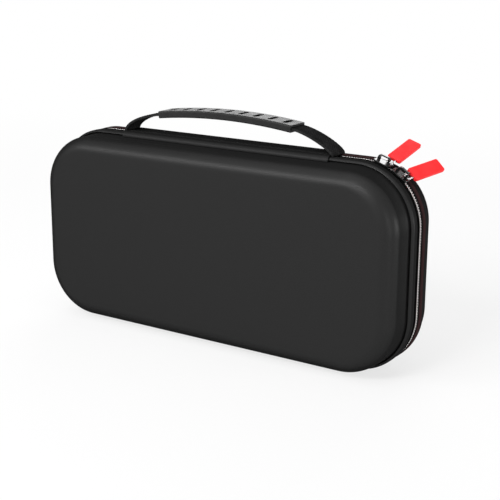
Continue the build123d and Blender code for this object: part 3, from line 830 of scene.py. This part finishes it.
def pocket_net(hem):
    """Net cut to the hollow's outline, sliced into diamonds and turned into yarn."""
    bm = bmesh.new()
    rim_face(bm, CAVITY_INSET + NET_GAP, (net_low.y + net_high.y) / 2 - PARTING_Y)
    top = (0, 0, net_high.z + NET_IN_HEM)
    bmesh.ops.bisect_plane(bm, geom=all_of(bm), plane_co=top, plane_no=(0, 0, 1), clear_outer=True)
    count = int((CASE_W / 2 + CASE_H) / NET_PITCH)
    for lean in (1, -1):
        across = Vector((1, 0, lean)).normalized()
        for k in range(-count, count + 1):
            bmesh.ops.bisect_plane(bm, geom=all_of(bm), plane_co=(k * NET_PITCH, 0, 0), plane_no=across)
    bmesh.ops.wireframe(
        bm, faces=bm.faces, thickness=NET_YARN, use_replace=True, use_boundary=True, use_even_offset=False
    )
    net = place_piece("pocket_net_yarn", bm, [net_yarn], "lid", ["pocket_net"], sharp=80)
    return net


def pocket_hem():
    """Bar with rounded edges, waved along its length by the gathers."""
    bm = bmesh.new()
    bmesh.ops.create_cube(bm, size=1)
    size = hem_high - hem_low
    bmesh.ops.scale(bm, vec=(size.x - HEM_END_GAP, size.y - 2 * HEM_RELIEF, size.z), verts=bm.verts)
    lengthwise = [e for e in bm.edges if e.calc_length() > size.x / 2]
    bmesh.ops.bevel(
        bm, geom=lengthwise, offset=HEM_R, segments=HEM_R_STEPS, profile=0.5, affect="EDGES", material=-1
    )
    lengthwise = [e for e in bm.edges if e.calc_length() > size.x / 2]
    bmesh.ops.subdivide_edges(
        bm, edges=lengthwise, cuts=HEM_FOLDS * HEM_FOLD_CELLS, use_grid_fill=True
    )
    for vert in bm.verts:
        vert.co.y += HEM_RELIEF * sin(2 * pi * HEM_FOLDS * vert.co.x / size.x)
    middle = (hem_high + hem_low) / 2
    bmesh.ops.translate(bm, verts=bm.verts, vec=(middle.x, middle.y - PARTING_Y, middle.z))
    map_cloth(bm)
    return place_piece(
        "pocket_hem_gathered", bm, [elastic_yarn], "lid", ["pocket_hem"], sharp=60
    )


pocket_net(pocket_hem())


# Rigid solids keep their own shape and take a finish
for node, material in (
    ("handle_grip", grip_rubber),
    ("slider_upper", slider_lacquer),
    ("slider_lower", slider_lacquer),
    ("zip_stop_left", slider_lacquer),
    ("zip_stop_right", slider_lacquer),
    ("pull_loop_upper", loop_plating),
    ("pull_loop_lower", loop_plating),
    ("pull_tab_upper", tab_rubber),
    ("pull_tab_lower", tab_rubber),
):
    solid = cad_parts[node]
    solid.data.materials.clear()
    solid.data.materials.append(material)


# Studio: pale floor, soft boxes, camera at the photograph's angle
FLOOR_SIZE = 40.0
FLOOR_NEAR = 0.35
FLOOR_FAR = 1.1
FLOOR_WHITE = 0.75
ROOM_LIGHT = 0.25


def white_to_view(tree, plain, surface, share=None):
    """Makes a surface white to the camera, to gloss and through glass, and leaves it plain to other rays."""
    path = tree.nodes.new("ShaderNodeLightPath")
    seen = math_node(tree, "MAXIMUM", path.outputs["Is Camera Ray"], path.outputs["Is Glossy Ray"])
    seen = math_node(tree, "MAXIMUM", seen, path.outputs["Is Transmission Ray"])
    if share is not None:
        seen = math_node(tree, "MULTIPLY", seen, share)
    white = tree.nodes.new("ShaderNodeEmission")
    white.inputs["Strength"].default_value = 1.0
    mix = tree.nodes.new("ShaderNodeMixShader")
    tree.links.new(seen, mix.inputs["Fac"])
    tree.links.new(plain, mix.inputs[1])
    tree.links.new(white.outputs[0], mix.inputs[2])
    tree.links.new(mix.outputs[0], surface)


def floor_paper():
    """Pale paper that keeps the shadow near the case and runs out to white further off."""
    material = bpy.data.materials.new("floor_paper")
    material.use_nodes = True
    tree = material.node_tree
    shader = tree.nodes["Principled BSDF"]
    shader.inputs["Base Color"].default_value = (0.88, 0.88, 0.88, 1)
    shader.inputs["Roughness"].default_value = 0.9
    shader.inputs["Specular IOR Level"].default_value = 0.0
    place = tree.nodes.new("ShaderNodeTexCoord")
    away = tree.nodes.new("ShaderNodeVectorMath")
    away.operation = "LENGTH"
    tree.links.new(place.outputs["Object"], away.inputs[0])
    fade = tree.nodes.new("ShaderNodeMapRange")
    fade.interpolation_type = "SMOOTHSTEP"
    fade.inputs["From Min"].default_value = FLOOR_NEAR
    fade.inputs["From Max"].default_value = FLOOR_FAR
    fade.inputs["To Min"].default_value = FLOOR_WHITE
    tree.links.new(away.outputs["Value"], fade.inputs["Value"])
    surface = tree.nodes["Material Output"].inputs["Surface"]
    white_to_view(tree, shader.outputs[0], surface, fade.outputs[0])
    return material


floor_mesh = bmesh.new()
bmesh.ops.create_grid(floor_mesh, x_segments=1, y_segments=1, size=FLOOR_SIZE / 2)
floor_data = bpy.data.meshes.new("floor")
floor_mesh.to_mesh(floor_data)
floor_mesh.free()
floor_data.materials.append(floor_paper())
floor = bpy.data.objects.new("floor", floor_data)
scene.collection.objects.link(floor)

world = bpy.data.worlds.new("studio")
scene.world = world
world.use_nodes = True
room_light = world.node_tree.nodes["Background"]
room_light.inputs["Color"].default_value = (1, 1, 1, 1)
room_light.inputs["Strength"].default_value = ROOM_LIGHT
world_surface = world.node_tree.nodes["World Output"].inputs["Surface"]
white_to_view(world.node_tree, room_light.outputs[0], world_surface)


def soft_box(name, place, target, width, height, power):
    """Rectangular lamp at a place, looking at a target."""
    data = bpy.data.lights.new(name, "AREA")
    data.shape = "RECTANGLE"
    data.size, data.size_y = width, height
    data.energy = power
    lamp = bpy.data.objects.new(name, data)
    lamp.location = place
    lamp.rotation_mode = "QUATERNION"
    lamp.rotation_quaternion = (Vector(target) - Vector(place)).to_track_quat("-Z", "Y")
    scene.collection.objects.link(lamp)


case_middle = (0, PARTING_Y, CASE_H / 2)
soft_box("front_box", (-0.7, -1.33, 0.84), case_middle, 1.2, 0.35, 18)
soft_box("corner_box", (0.02, -1.1, 1.06), case_middle, 0.35, 0.25, 7)
soft_box("overhead_box", (0, -0.3, 1.3), case_middle, 1.2, 1.0, 5)
soft_box("right_box", (1.24, -0.66, 0.2), case_middle, 0.14, 0.4, 2.5)
soft_box("side_box", (1.3, 0.6, 0.1), case_middle, 0.6, 0.15, 7)
soft_box("rear_box", (-0.5, 1.4, 0.8), case_middle, 1.2, 0.5, 10)

CAMERA_AZIMUTH = radians(34.0)
CAMERA_HEIGHT_ANGLE = radians(15.18)
CAMERA_DISTANCE = 732.15 * MM
PHOTO_SIZE = 500
FOCAL_PIXELS = 1146.1
AXIS_PIXEL = (229.33, 240.23)
SENSOR = 36.0
camera_data = bpy.data.cameras.new("camera")
camera_data.sensor_width = SENSOR
camera_data.lens = FOCAL_PIXELS / PHOTO_SIZE * SENSOR
camera_data.shift_x = (PHOTO_SIZE / 2 - AXIS_PIXEL[0]) / PHOTO_SIZE
camera_data.shift_y = (AXIS_PIXEL[1] - PHOTO_SIZE / 2) / PHOTO_SIZE
camera = bpy.data.objects.new("camera", camera_data)
towards_camera = Vector(
    (
        sin(CAMERA_AZIMUTH) * cos(CAMERA_HEIGHT_ANGLE),
        -cos(CAMERA_AZIMUTH) * cos(CAMERA_HEIGHT_ANGLE),
        sin(CAMERA_HEIGHT_ANGLE),
    )
)
camera.location = Vector(case_middle) + towards_camera * CAMERA_DISTANCE
camera.rotation_mode = "QUATERNION"
camera.rotation_quaternion = (-towards_camera).to_track_quat("-Z", "Y")
scene.collection.objects.link(camera)
scene.camera = camera

scene.view_settings.view_transform = "Standard"
